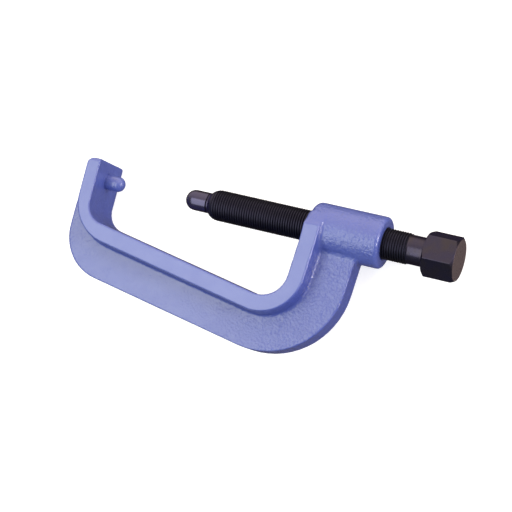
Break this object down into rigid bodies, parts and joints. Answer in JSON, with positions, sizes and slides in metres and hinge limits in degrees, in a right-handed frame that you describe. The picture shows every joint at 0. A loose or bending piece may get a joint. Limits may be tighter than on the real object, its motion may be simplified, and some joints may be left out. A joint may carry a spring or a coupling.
{
  "type": "c clamp",
  "caption": "Heavy C-frame screw clamp with a T-section frame, a bored screw boss, a fine-threaded forcing screw with a hex head and a live nose, and a locating pin in the fixed jaw.",
  "frame": {"origin": "on the screw's axis, in the gripping face of the fixed jaw", "axes": "+X along the screw from the fixed jaw to the hex head, +Y from the spine up to the screw, +Z across the frame, which lies on its side"},
  "size_m": [0.3091, 0.1219, 0.047],
  "materials": {
    "blue_paint": "semi-gloss lilac-blue paint over a cast surface",
    "black_oxide": "oiled black oxide",
    "polished_oxide": "ground and blackened, glossy",
    "bearing_steel": "polished",
    "spring_steel": "plain drawn wire"
  },
  "bodies": {
    "frame": {"frame": "blue_paint", "locating_pin": "blue_paint"},
    "thrust_tip": {"thrust_tip": "polished_oxide", "thrust_ball": "bearing_steel"},
    "forcing_screw": {"forcing_screw": "black_oxide", "retaining_ring": "spring_steel"}
  },
  "joints": [
    {"name": "screw_travel", "type": "slide", "parent": "frame", "child": "thrust_tip", "axis": [1, 0, 0], "range_m": [-0.018, 0.076]},
    {"name": "screw_turn", "type": "hinge", "parent": "thrust_tip", "child": "forcing_screw", "pos_m": [0.2, 0, 0], "axis": [1, 0, 0], "range_deg": [-3241, 13681]}
  ],
  "couplings": [
    {"joint": "screw_turn", "follows": "screw_travel", "rad_per_m": 3141.6}
  ]
}
